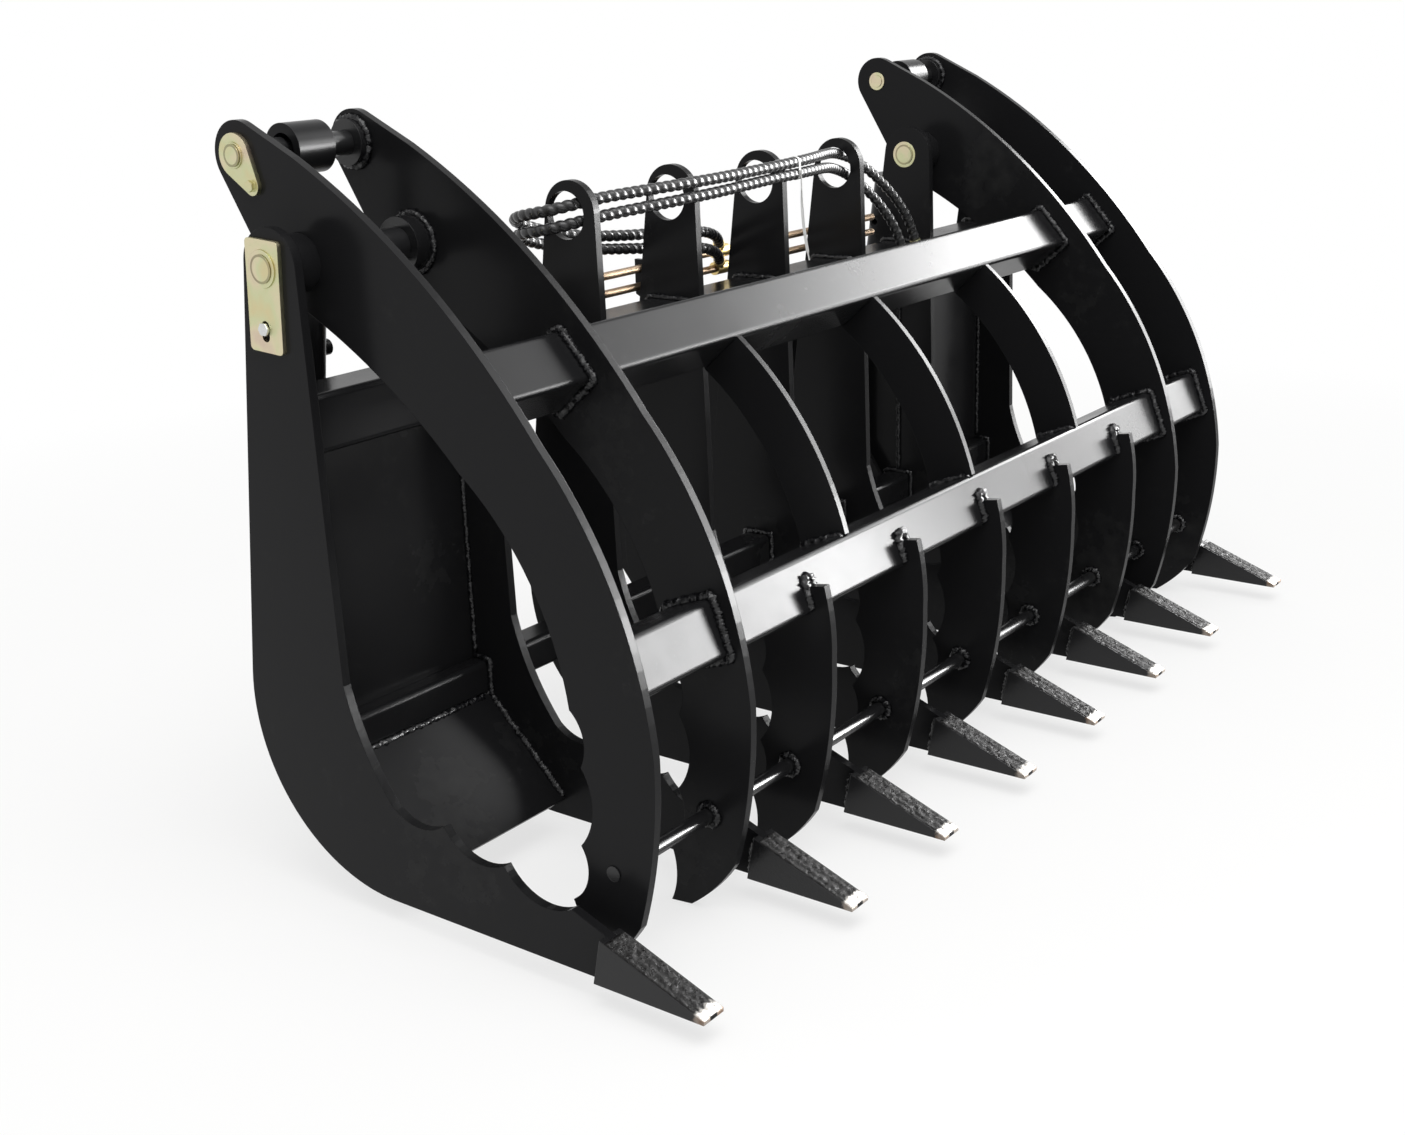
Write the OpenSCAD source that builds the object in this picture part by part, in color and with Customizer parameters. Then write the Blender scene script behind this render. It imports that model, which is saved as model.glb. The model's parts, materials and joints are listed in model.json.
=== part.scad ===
// Root rake grapple for a skid steer loader, drawn with its clamp closed.
// +X is to the right seen from behind, the teeth point to -Y and +Z is up.
// Side outlines are written as [y, z] with y = 0 on the clamp's pivot and z = 0 under the tines.

/* [Width] */
// Distance between neighbouring inner tines, middle to middle
tine_pitch = 235.2; // [215:0.2:260]
// Width of each end bay, from the lug tine's middle to the end tine's middle
end_bay = 312.5; // [290:0.5:340]
// Space between the end tine and the outer clamp arm
arm_end_gap = 42; // [38:1:50]
// Space between the lug tine and the inner clamp arm
arm_lug_gap = 54; // [40:1:60]

/* [Tines] */
// Thickness of the tine plates
tine_t = 12.7; // [10:0.1:16]
// Height of the clamp's pivot above the underside of the tines
pivot_h = 809; // [780:1:840]
// Radius of the round head on top of each tine
head_r = 46; // [43:0.5:50]
// Radius of the heel under the back of the rake
heel_r = 239; // [225:1:250]
// Distance from the pivot forward to the tooth tips
tip_reach = 631.5; // [600:0.5:680]
// Distance from the pivot forward to the toe, where the slope down to the tip starts
toe_reach = 430; // [420:1:440]
// Height of the toe
toe_h = 80; // [74:1:86]
// Height of the blunt tooth tips
tip_h = 5; // [4:0.5:10]
// Radius of the hose holes in the heads of the four inner tines
hose_hole_r = 34.5; // [30:0.5:36]

/* [Tooth plates] */
// Thickness of the wear plate on each side of a tooth
tooth_t = 12.7; // [8:0.1:16]
// Length of the wear plates along the tooth
tooth_l = 150; // [120:1:170]

/* [Cross members] */
// Outside width of the square tubes of the rake's top beam and the clamp's two bars
beam_w = 76; // [70:1:80]
// Wall of those square tubes
beam_wall = 6.4; // [4:0.1:9]
// Outside corner radius of the square tubes
beam_corner = 8; // [6.6:0.2:10]
// Height of the top beam's middle
beam_h = 614; // [600:1:630]
// Outside width of the lower cross tube
low_w = 50; // [44:1:56]
// Height of the lower cross tube's middle
low_h = 185; // [180:1:195]
// Thickness of the back plates in the end bays
back_t = 8; // [5:0.5:10]
// Thickness of the sloping corner plates in the end bays
corner_t = 8; // [5:0.5:10]

/* [Clamp] */
// Thickness of the clamp's arms and fingers
arm_t = 12; // [10:0.5:14]
// Thickness of the curved ribs between the clamp's bars
rib_t = 10; // [8:0.5:12]
// Radius of the arms round the pivot
boss_r = 60; // [56:1:64]
// Radius of the ear that holds the cylinder's pin
ear_r = 42; // [38:0.5:46]
// Diameter of the round bar through the lower ends of the clamp
tie_bar_d = 20; // [16:1:24]
// Outer diameter of the pivot bushes
bush_d = 72; // [66:1:80]
// Length of the pivot bushes
bush_l = 70; // [50:1:76]

/* [Pins] */
// Diameter of the clamp's pivot pins
pivot_pin_d = 46; // [40:0.5:50]
// Diameter of the cylinder's two pins
cyl_pin_d = 32; // [28:0.5:36]
// Thickness of the zinc-plated keeper plates
keeper_t = 6; // [5:0.5:8]
// How far the pins stand out of their keepers
pin_proud = 1.65; // [1:0.05:4]
// Diameter of the keeper bolts
bolt_d = 12; // [10:1:14]
// Running clearance of every pin and shaft, on the radius
run_gap = 0.05; // [0.02:0.01:0.1]
// Clearance left round a tube where it passes through a plate
fit_gap = 0.3; // [0.1:0.1:0.4]

/* [Cylinders] */
// Distance from the clamp's pivot back to the cylinder's base pin
base_back = 188; // [180:1:195]
// Height of the cylinder's base pin
base_h = 330; // [320:1:340]
// Outer diameter of the barrel, and width of its base
barrel_d = 66; // [62:1:70]
// Bore of the barrel
bore_d = 50; // [46:1:54]
// Diameter of the piston rod
rod_d = 32; // [28:1:36]
// Width of the rod's eye
eye_w = 60; // [54:1:66]
// Length of the barrel from the base pin to its open end
barrel_l = 415; // [405:1:420]
// Thickness of the base lugs
lug_t = 12; // [10:0.5:16]
// Clearance in the rod's eye, which lets the two swinging centres stay apart
eye_play = 10.3; // [10.2:0.1:11]

/* [Quick attach] */
// Overall width of the quick attach
attach_w = 1142; // [1120:1:1150]
// Width of each side plate
attach_plate_w = 141; // [120:1:145]
// Thickness of the quick attach's plates
attach_t = 10; // [8:0.5:12]
// Distance from the clamp's pivot back to the rear face of the side plates
attach_back = 160; // [155:1:165]
// Height of the side plates' lower edge
attach_low = 120; // [110:1:130]
// Distance from the top beam's middle down to the side plates' top edge
attach_drop = 24; // [20:1:28]
// Length of the sloping lip that hooks over the coupler
lip_l = 40; // [30:1:42]
// Length of the flat part between the side plates and the sloping lip
lip_flat = 28; // [20:1:30]
// Length of the bottom flange that the locking pins go through
flange_l = 58; // [54:1:60]
// Distance from each side of the quick attach in to the middle of its locking slot
slot_in = 71; // [66:1:76]
// Length of each locking slot
slot_l = 76; // [60:1:90]
// Width of each locking slot
slot_w = 26; // [22:1:30]

/* [Hydraulic lines] */
// Outer diameter of the steel lines
line_d = 12.7; // [10:0.1:14]
// Height of the upper steel line above the top beam's middle
line_rise = 71; // [68:1:76]
// Distance between the two steel lines, middle to middle
line_gap = 28; // [26:1:30]
// Distance from the clamp's pivot back to the steel lines
line_back = 105; // [100:1:110]
// Half the length of the steel lines
line_half = 640; // [600:1:650]
// Outer diameter of the two supply hoses in their spiral guards
hose_d = 15.5; // [14:0.5:17]

/* [Hidden] */
$fn = 72;
black = [0.06, 0.06, 0.07];
zinc = [0.80, 0.74, 0.50];
chrome = [0.75, 0.76, 0.78];
brass = [0.78, 0.62, 0.28];

// Places across the width
lug_x = 2.5 * tine_pitch;
end_x = lug_x + end_bay;
outer_arm_x = end_x - tine_t / 2 - arm_end_gap - arm_t / 2;
inner_arm_x = lug_x + tine_t / 2 + arm_lug_gap + arm_t / 2;
cyl_x = (outer_arm_x + inner_arm_x) / 2;
bay_in = lug_x + tine_t / 2;
bay_out = end_x - tine_t / 2;
arm_face = outer_arm_x + arm_t / 2;

// Side view of the tines
pivot = [0, pivot_h];
head = pivot + [-6, 3];
heel = [-124, heel_r];
throat = [-64, 285];
tine_cusps = [throat, [-135, 137], [-225, 133], [-324, 107], [-toe_reach, toe_h]];
tine_bites = [9, 16, 21, 22];
tip = [-tip_reach, tip_h];
hose_hole = pivot + [2, -1];
beam = [4, beam_h];
low_tube = [9, low_h];
back_y = 15;
corner_high = [-16, low_h - low_w / 2];
corner_low = [-147, 27];

// Side view of the clamp, from its pivot
ear = [98, 125];
shoulder = [-1, 125];
elbow = [-369, -187];
belly = [-520, -538];
chin = [-489, -762];
nail = [-418, -837];
claw = [-385, -840];
arm_cusps = [claw, [-385, -753], [-402, -676], [-408, -572], [-395, -501]];
arm_bites = [10, 17, 18, 13];
inner_elbow = [-243, -234];
finger_top = [-509, -436];
finger_lap = [40, -6];
top_bar = [-241, -146.5];
top_bar_turn = 48.4;
mid_bar = [-444, -452.5];
mid_bar_turn = 69.3;
tie_bar_at = [-452, -699];

// Cylinder
base = [base_back, base_h];
rod_eye = pivot + ear;
closed_l = norm(rod_eye - base);
lean = atan2(base[0] - rod_eye[0], rod_eye[1] - base[1]);
barrel_floor = 52;
gland_in = 45;
gland_cap = 12;
piston_l = 40;
piston_at = 215;
waist_r = cyl_pin_d / 2 - 5.5;
lug_r = barrel_d / 2 + 1;
lug_gap = 1.5;
lug_foot = 85;
fork_half = barrel_d / 2 + lug_gap + lug_t;
port_high = barrel_l - 75;
port_low = 80;
port_r = 11;
port_l = 14;

// Places that follow the top beam and the quick attach's width
attach_top = beam_h - attach_drop;
line_top = beam_h + line_rise;
line_low = line_top - line_gap;
slot_pitch = attach_w - 2 * slot_in;

// Whole object
rear_reach = base_back + lug_r;
centre_y = (tip_reach - rear_reach) / 2;
lift = -pivot_h - claw[1];

// Moves the side view's own zero to the middle of the footprint and to the lowest point
module placed() {
    translate([0, centre_y, lift]) children();
}

module both_sides() {
    children();
    mirror([1, 0, 0]) children();
}

// Stands a [y, z] outline up across X, t thick about x
module plate(x, t) {
    translate([x - t / 2, 0, 0])
        rotate([90, 0, 90])
            linear_extrude(t) children();
}

// Round bar along X between two places
module bar_x(x0, x1, at, r) {
    translate([x0, at[0], at[1]])
        rotate([0, 90, 0])
            cylinder(h = x1 - x0, r = r);
}

// Points of the arc from p to q that bulges by s to the left of the way, q left out
function arc_to(p, q, s, n = 14) =
    let (
        c = q - p,
        len = norm(c),
        left = [-c[1], c[0]] / len,
        r = (len * len / 4 + s * s) / (2 * abs(s)),
        m = p + c / 2 + left * (s - sign(s) * r),
        a = atan2(p[1] - m[1], p[0] - m[0]),
        turn = -sign(s) * 2 * asin(len / 2 / r)
    )
    [for (i = [0 : n - 1]) m + r * [cos(a + turn * i / n), sin(a + turn * i / n)]];

// Round ring along X between two places
module ring(x0, x1, at, r_out, r_in) {
    difference() {
        bar_x(x0, x1, at, r_out);
        bar_x(x0 - 1, x1 + 1, at, r_in);
    }
}

// Edge of one shallow arc after another, through all the cusps
function scallops(cusps, bites) = concat(
    [for (i = [0 : len(bites) - 1]) each arc_to(cusps[i], cusps[i + 1], bites[i])],
    [cusps[len(bites)]]
);

// Points round a circle from angle a to angle b
function round_off(c, r, a, b, n = 16) =
    [for (i = [0 : n]) c + r * [cos(a + (b - a) * i / n), sin(a + (b - a) * i / n)]];

// Angle of the outer tangent's normal on two circles, on the left (1) or right (-1) of the way
function tangent(c1, r1, c2, r2, side) =
    atan2(c2[1] - c1[1], c2[0] - c1[0]) + side * acos((r1 - r2) / norm(c2 - c1));

// Outline round two circles
function teardrop(c1, r1, c2, r2) =
    let (
        a = tangent(c1, r1, c2, r2, 1),
        b = tangent(c1, r1, c2, r2, -1)
    )
    concat(round_off(c1, r1, a, b + 360, 28), round_off(c2, r2, b, a, 16));

// Outline of a rectangle with round corners about its middle
function soft_box(w, h, r) =
    concat(
        round_off([w / 2 - r, h / 2 - r], r, 0, 90, 6),
        round_off([r - w / 2, h / 2 - r], r, 90, 180, 6),
        round_off([r - w / 2, r - h / 2], r, 180, 270, 6),
        round_off([w / 2 - r, r - h / 2], r, 270, 360, 6)
    );

function last(list) = list[len(list) - 1];

function turned(p, a) = [p[0] * cos(a) - p[1] * sin(a), p[0] * sin(a) + p[1] * cos(a)];

module tube_outline(w, at, a, grow = 0) {
    translate(at)
        rotate(a)
            polygon(soft_box(w + 2 * grow, w + 2 * grow, beam_corner + grow));
}

// Hollow square tube along X between two places
module square_tube(x0, x1, w, at, a) {
    plate((x0 + x1) / 2, x1 - x0)
        difference() {
            tube_outline(w, at, a);
            tube_outline(w, at, a, -beam_wall);
        }
}

// Rake
back_normal = tangent(heel, heel_r, head, head_r, -1);

// Place of the tines' straight rear edge at a height
function tine_back(z) = head[0] + (head_r - (z - head[1]) * sin(back_normal)) / cos(back_normal);

module tine_outline() {
    front = tangent(head, head_r, throat, 0, -1) + 360;
    polygon(concat(
        round_off(heel, heel_r, -90, back_normal, 30),
        round_off(head, head_r, back_normal, front, 24),
        scallops(tine_cusps, tine_bites),
        [tip, [tip[0], 0]]
    ));
}

module tine(x, open_beams, head_hole_r, head_hole_at) {
    color(black) placed() difference() {
        plate(x, tine_t) difference() {
            tine_outline();
            if (open_beams) tube_outline(beam_w, beam, 0, fit_gap);
            if (open_beams) tube_outline(low_w, low_tube, 0, fit_gap);
        }
        bar_x(x - tine_t, x + tine_t, head_hole_at, head_hole_r);
    }
}

module end_tine(side) {
    difference() {
        tine(side * end_x, false, pivot_pin_d / 2 + run_gap, pivot);
        placed() bar_x(side * end_x - tine_t, side * end_x + tine_t, keeper_bolt_at, bolt_d / 2 + run_gap);
    }
}

module lug_tine(side) {
    tine(side * lug_x, true, pivot_pin_d / 2 + run_gap, pivot);
}

module inner_tine(i) {
    tine((i - 2.5) * tine_pitch, true, hose_hole_r, hose_hole);
}

module tooth_outline() {
    slope = (toe_h - tip_h) / (tip_reach - toe_reach);
    back = tip_reach - tooth_l;
    polygon([
        [-back, toe_h - slope * (back - toe_reach)],
        tip,
        [tip[0], 0],
        [12 - back, 0]
    ]);
}

module tooth_pair(x) {
    for (side = [-1, 1])
        plate(x + side * (tine_t + tooth_t) / 2, tooth_t) tooth_outline();
}

module tooth_plates(side) {
    color(black) placed()
        for (x = [tine_pitch / 2, 1.5 * tine_pitch, lug_x, end_x])
            tooth_pair(side * x);
}

module top_beam() {
    color(black) placed() square_tube(-bay_out, bay_out, beam_w, beam, 0);
}

module lower_tube() {
    color(black) placed() square_tube(-bay_out, bay_out, low_w, low_tube, 0);
}

module back_plate(side) {
    low = low_h + low_w / 2;
    high = beam_h - beam_w / 2;
    color(black) placed()
        translate([side * (bay_in + bay_out) / 2, back_y, (low + high) / 2])
            cube([bay_out - bay_in, back_t, high - low], center = true);
}

module corner_plate(side) {
    along = corner_low - corner_high;
    u = along / norm(along);
    under = [u[1], -u[0]] * corner_t;
    color(black) placed()
        plate(side * (bay_in + bay_out) / 2, bay_out - bay_in)
            polygon([corner_high, corner_low, corner_low - under, corner_high - under]);
}

// Quick attach
lip_z = attach_top;
flange_turn = 30;
web_back = 30;
web_slope = 60;
short_web_high = 110;
short_web_low = 30;
mid_web_turn = -18;
mid_web_rise = 40;

module attach_top_lip() {
    start = tine_back(lip_z) + fit_gap;
    bend = attach_back + lip_flat;
    c = cos(45);
    color(black) placed() plate(0, attach_w) polygon([
        [start, lip_z],
        [start, lip_z + attach_t],
        [bend, lip_z + attach_t],
        [bend + lip_l * c, lip_z + attach_t - lip_l * c],
        [bend + (lip_l - attach_t) * c, lip_z + attach_t - (lip_l + attach_t) * c],
        [bend - attach_t * 0.41, lip_z]
    ]);
}

module attach_plate(side) {
    x = side * (attach_w - attach_plate_w) / 2;
    color(black) placed()
        translate([x, attach_back - attach_t / 2, (attach_low + attach_top) / 2])
            cube([attach_plate_w, attach_t, attach_top - attach_low], center = true);
}

slot_y = attach_back + flange_l / 2 - 3;

module flange_outline() {
    front = attach_back - attach_t;
    drop = flange_l * tan(flange_turn);
    deep = attach_t / cos(flange_turn);
    polygon([
        [front, attach_low],
        [front, attach_low - deep],
        [front + flange_l, attach_low - deep - drop],
        [front + flange_l, attach_low - drop]
    ]);
}

module attach_flanges() {
    color(black) placed() both_sides() difference() {
        plate((attach_w - attach_plate_w) / 2, attach_plate_w) flange_outline();
        for (end = [-1, 1])
            translate([slot_pitch / 2 + end * (slot_l - slot_w) / 2, slot_y, 0])
                cylinder(h = attach_low, r = slot_w / 2);
        translate([slot_pitch / 2 - (slot_l - slot_w) / 2, slot_y - slot_w / 2, 0])
            cube([slot_l - slot_w, slot_w, attach_low]);
    }
}

module attach_gussets() {
    front = attach_back - attach_t;
    beam_y = beam[0] + beam_w / 2;
    tube_y = low_tube[0] + low_w / 2;
    beam_low = beam_h - beam_w / 2 + beam_corner;
    beam_high = beam_h + beam_w / 2 - beam_corner;
    tube_low = low_h - low_w / 2 + beam_corner;
    tube_high = low_h + low_w / 2 - beam_corner;
    outer_x = attach_w / 2 - attach_t;
    inner_x = attach_w / 2 - attach_plate_w + 2 * attach_t;
    color(black) placed() both_sides() {
        plate(outer_x, attach_t) polygon([
            [beam_y, beam_low], [beam_y, attach_top], [front, attach_top], [front, attach_low],
            [tube_y, tube_low], [tube_y, tube_high],
            [beam_y + web_back, tube_high + web_slope], [beam_y + web_back, beam_low - web_slope]
        ]);
        plate(inner_x, attach_t) polygon([
            [beam_y, beam_low], [beam_y, attach_top], [front, attach_top], [front, attach_top - short_web_high]
        ]);
        plate(inner_x, attach_t) polygon([
            [tube_y, tube_low], [tube_y, tube_high], [front, attach_low + short_web_low], [front, attach_low]
        ]);
        plate(tine_pitch / 2, attach_t) polygon(concat(
            round_off(heel, heel_r + fit_gap, mid_web_turn, back_normal, 10),
            [[tine_back(attach_top) + fit_gap, attach_top], [front, attach_top], [front, low_h + mid_web_rise]]
        ));
    }
}

// Cylinder mounts and pins
module cylinder_lugs(side) {
    wall = back_y + back_t / 2;
    high = [wall, base_h + lug_foot];
    low = [wall, base_h - lug_foot];
    a = tangent(base, lug_r, high, 0, -1);
    b = tangent(base, lug_r, low, 0, 1);
    color(black) placed()
        for (at = [-1, 1]) {
            x = side * cyl_x + at * (fork_half - lug_t / 2);
            difference() {
                plate(x, lug_t) polygon(concat([high, low], round_off(base, lug_r, b, a, 24)));
                bar_x(x - lug_t, x + lug_t, base, cyl_pin_d / 2 + run_gap);
            }
        }
}

module base_pins() {
    head_t = 6;
    collar_t = 6;
    in_end = cyl_x - fork_half - collar_t - 2;
    color(zinc) placed() both_sides() {
        bar_x(in_end, cyl_x + fork_half, base, cyl_pin_d / 2);
        bar_x(cyl_x + fork_half, cyl_x + fork_half + head_t, base, cyl_pin_d / 2 + 7);
        ring(in_end + 1, in_end + 1 + collar_t, base, cyl_pin_d / 2 + 6, cyl_pin_d / 2 + run_gap);
    }
}

module pivot_pins() {
    color(zinc) placed() both_sides()
        bar_x(lug_x - tine_t / 2, end_x + tine_t / 2 + keeper_t + pin_proud, pivot, pivot_pin_d / 2);
}

keeper_w = 58;
keeper_l = 137;
keeper_turn = 3.8;
keeper_bolt_drop = 76;
keeper_slot = 26;
washer_t = 2;
bolt_head_t = 4.5;
keeper_bolt_at = pivot + turned([0, -keeper_bolt_drop], keeper_turn);

module pivot_keepers() {
    head_above = 35;
    color(zinc) placed() both_sides() difference() {
        plate(end_x + (tine_t + keeper_t) / 2, keeper_t) difference() {
            translate(pivot) rotate(keeper_turn) translate([0, head_above - keeper_l / 2])
                polygon(soft_box(keeper_w, keeper_l, 6));
            translate(keeper_bolt_at) rotate(keeper_turn)
                polygon(soft_box(bolt_d + 1.5, keeper_slot, bolt_d / 2 + 0.7));
        }
        bar_x(end_x, end_x + tine_t + keeper_t, pivot, pivot_pin_d / 2 + run_gap);
    }
}

module keeper_bolts() {
    face = end_x + tine_t / 2 + keeper_t;
    color(zinc) placed() both_sides() {
        bar_x(end_x - tine_t / 2, face, keeper_bolt_at, bolt_d / 2);
        bar_x(face, face + washer_t, keeper_bolt_at, bolt_d * 1.05);
        translate([face + washer_t, keeper_bolt_at[0], keeper_bolt_at[1]])
            rotate([0, 90, 0]) cylinder(h = bolt_head_t, r = bolt_d * 0.87, $fn = 6);
    }
}

// Clamp
module arm_outline() {
    rear = tangent([0, 0], boss_r, ear, ear_r, -1);
    top = tangent(ear, ear_r, shoulder, 0, -1);
    polygon(concat(
        round_off([0, 0], boss_r, -90, rear, 8),
        round_off(ear, ear_r, rear, top, 20),
        arc_to(shoulder, elbow, -27, 18),
        arc_to(elbow, belly, -31, 18),
        arc_to(belly, chin, -9, 12),
        arc_to(chin, nail, -5, 8),
        [nail],
        scallops(arm_cusps, arm_bites),
        arc_to(last(arm_cusps), inner_elbow, 30, 18),
        arc_to(inner_elbow, [0, -boss_r], 13, 16)
    ));
}

module clamp_at() {
    placed() translate([0, 0, pivot_h]) children();
}

module bar_cuts() {
    tube_outline(beam_w, top_bar, top_bar_turn, fit_gap);
    tube_outline(beam_w, mid_bar, mid_bar_turn, fit_gap);
}

module arm(x, cut_through) {
    color(black) clamp_at() difference() {
        plate(x, arm_t) difference() {
            arm_outline();
            if (cut_through) bar_cuts();
        }
        bar_x(x - arm_t, x + arm_t, [0, 0], bush_d / 2 + run_gap);
        bar_x(x - arm_t, x + arm_t, ear, cyl_pin_d / 2 + run_gap);
        bar_x(x - arm_t, x + arm_t, tie_bar_at, tie_bar_d / 2 + run_gap);
        if (abs(x) > cyl_x)
            bar_x(x - arm_t, x + arm_t, rod_bolt_at, rod_bolt_d / 2 + run_gap);
    }
}

module clamp_top_bar() {
    end = outer_arm_x - arm_t / 2;
    color(black) clamp_at() square_tube(-end, end, beam_w, top_bar, top_bar_turn);
}

module clamp_mid_bar() {
    end = outer_arm_x - arm_t / 2;
    color(black) clamp_at() square_tube(-end, end, beam_w, mid_bar, mid_bar_turn);
}

// Corner of a turned square tube, named by its place before the turn
function tube_corner(at, a, sy, sz) = at + turned([sy, sz] * beam_w / 2, a);

module clamp_ribs() {
    high_out = tube_corner(top_bar, top_bar_turn, -1, 1);
    high_in = tube_corner(top_bar, top_bar_turn, -1, -1);
    low_out = tube_corner(mid_bar, mid_bar_turn, 1, 1);
    low_in = tube_corner(mid_bar, mid_bar_turn, 1, -1);
    color(black) clamp_at()
        for (x = [-1.5, 0, 1.5] * tine_pitch)
            plate(x, rib_t) difference() {
                polygon(concat(
                    arc_to(high_out, low_out, -24, 18),
                    [low_out],
                    arc_to(low_in, high_in, 24, 18),
                    [high_in, top_bar]
                ));
                bar_cuts();
            }
}

module finger(i) {
    x = (i - 3) * tine_pitch;
    inner = tube_corner(mid_bar, mid_bar_turn, -1, -1);
    color(black) clamp_at() difference() {
        plate(x, arm_t) difference() {
            polygon(concat(
                arc_to(finger_top, belly, -4, 6),
                arc_to(belly, chin, -9, 12),
                arc_to(chin, nail, -5, 8),
                [nail],
                scallops(arm_cusps, arm_bites),
                [inner, mid_bar, finger_top + finger_lap]
            ));
            bar_cuts();
        }
        bar_x(x - arm_t, x + arm_t, tie_bar_at, tie_bar_d / 2 + run_gap);
    }
}

module tie_bar() {
    end = outer_arm_x + arm_t / 2 + 2;
    color(black) clamp_at() bar_x(-end, end, tie_bar_at, tie_bar_d / 2);
}

pin_boss_l = 14;

module arm_bushes() {
    color(black) clamp_at() both_sides() {
        for (x = [inner_arm_x, outer_arm_x])
            ring(x - bush_l / 2, x + bush_l / 2, [0, 0], bush_d / 2, pivot_pin_d / 2 + run_gap);
        ring(inner_arm_x + arm_t / 2, inner_arm_x + arm_t / 2 + pin_boss_l, ear, 30, cyl_pin_d / 2 + run_gap);
        ring(outer_arm_x - arm_t / 2 - pin_boss_l, outer_arm_x - arm_t / 2, ear, 30, cyl_pin_d / 2 + run_gap);
    }
}

module rod_pins() {
    waist = eye_w / 2 + 3;
    color(zinc) clamp_at() both_sides() {
        bar_x(inner_arm_x - arm_t / 2 - 2, cyl_x - waist, ear, cyl_pin_d / 2);
        bar_x(cyl_x - waist, cyl_x + waist, ear, waist_r);
        bar_x(cyl_x + waist, arm_face + keeper_t + pin_proud, ear, cyl_pin_d / 2);
    }
}

rod_bolt_d = 8;
rod_bolt_at = ear + [-28, -36];
rod_keeper_r = 27;
rod_keeper_foot_r = 12;
rod_bolt_head_t = 5;

module rod_pin_keepers() {
    color(zinc) clamp_at() both_sides() {
        difference() {
            plate(arm_face + keeper_t / 2, keeper_t)
                polygon(teardrop(ear, rod_keeper_r, rod_bolt_at, rod_keeper_foot_r));
            bar_x(arm_face - 1, arm_face + keeper_t + 1, ear, cyl_pin_d / 2 + run_gap);
            bar_x(arm_face - 1, arm_face + keeper_t + 1, rod_bolt_at, rod_bolt_d / 2 + run_gap);
        }
        bar_x(arm_face - arm_t, arm_face + keeper_t, rod_bolt_at, rod_bolt_d / 2);
        translate([arm_face + keeper_t, rod_bolt_at[0], rod_bolt_at[1]])
            rotate([0, 90, 0]) cylinder(h = rod_bolt_head_t, r = rod_bolt_d * 0.9, $fn = 6);
    }
}

// Cylinders, drawn standing on the base pin and then leaned to the rod pin
module cylinder_at(side) {
    placed()
        translate([side * cyl_x, base[0], base[1]])
            rotate([lean, 0, 0]) children();
}

module barrel(side) {
    color(black) cylinder_at(side) {
        difference() {
            union() {
                translate([-barrel_d / 2, 0, 0]) rotate([0, 90, 0]) cylinder(h = barrel_d, r = barrel_d / 2);
                cylinder(h = barrel_l, r = barrel_d / 2);
                for (z = [port_low, port_high])
                    translate([0, 0, z]) rotate([0, -side * 90, 0])
                        cylinder(h = barrel_d / 2 + port_l, r = port_r);
            }
            translate([0, 0, barrel_floor]) cylinder(h = barrel_l, r = bore_d / 2);
            translate([-barrel_d, 0, 0]) rotate([0, 90, 0]) cylinder(h = 2 * barrel_d, r = cyl_pin_d / 2 + run_gap);
            for (z = [port_low, port_high])
                translate([0, 0, z]) rotate([0, -side * 90, 0])
                    cylinder(h = barrel_d, r = port_r - 5);
        }
    }
}

module gland(side) {
    color(black) cylinder_at(side)
        difference() {
            union() {
                translate([0, 0, barrel_l - gland_in]) cylinder(h = gland_in + 1, r = bore_d / 2 - run_gap);
                translate([0, 0, barrel_l]) cylinder(h = gland_cap, r = barrel_d / 2 - 3);
            }
            translate([0, 0, barrel_l - gland_in - 1])
                cylinder(h = gland_in + gland_cap + 2, r = rod_d / 2 + run_gap);
        }
}

module rod(side) {
    color(chrome) cylinder_at(side)
        difference() {
            union() {
                translate([0, 0, piston_at - piston_l / 2]) cylinder(h = piston_l, r = bore_d / 2 - run_gap);
                translate([0, 0, piston_at]) cylinder(h = closed_l - piston_at, r = rod_d / 2);
                translate([-eye_w / 2, 0, closed_l]) rotate([0, 90, 0]) cylinder(h = eye_w, r = barrel_d / 2);
            }
            translate([-eye_w, 0, closed_l]) rotate([0, 90, 0]) cylinder(h = 2 * eye_w, r = waist_r + eye_play);
        }
}

// Steel lines and their fittings
line_heights = [line_low, line_top];
tee_x = 150;
tee_tilt = 64.5;
tee_swing = 213.7;
tee_l = 42;
ferrule_l = 12;
tee_way = [sin(tee_tilt) * cos(tee_swing), sin(tee_tilt) * sin(tee_swing), cos(tee_tilt)];
bracket_xs = [-2, -0.25, 2] * tine_pitch;
bracket_t = 8;
bracket_edge = 14;
bracket_foot = attach_top + attach_t + 4;

module steel_lines() {
    color(black) placed()
        for (z = line_heights)
            bar_x(-line_half, line_half, [line_back, z], line_d / 2);
}

module line_brackets() {
    beam_y = beam[0] + beam_w / 2;
    high = beam_h + beam_w / 2 - beam_corner;
    color(black) placed()
        for (x = bracket_xs)
            difference() {
                plate(x, bracket_t) polygon([
                    [beam_y, bracket_foot], [beam_y, high],
                    [line_back - bracket_edge, line_top + bracket_edge],
                    [line_back + bracket_edge, line_top + bracket_edge],
                    [line_back + bracket_edge, line_low - bracket_edge]
                ]);
                for (z = line_heights)
                    bar_x(x - bracket_t, x + bracket_t, [line_back, z], line_d / 2 + run_gap);
            }
}

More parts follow.
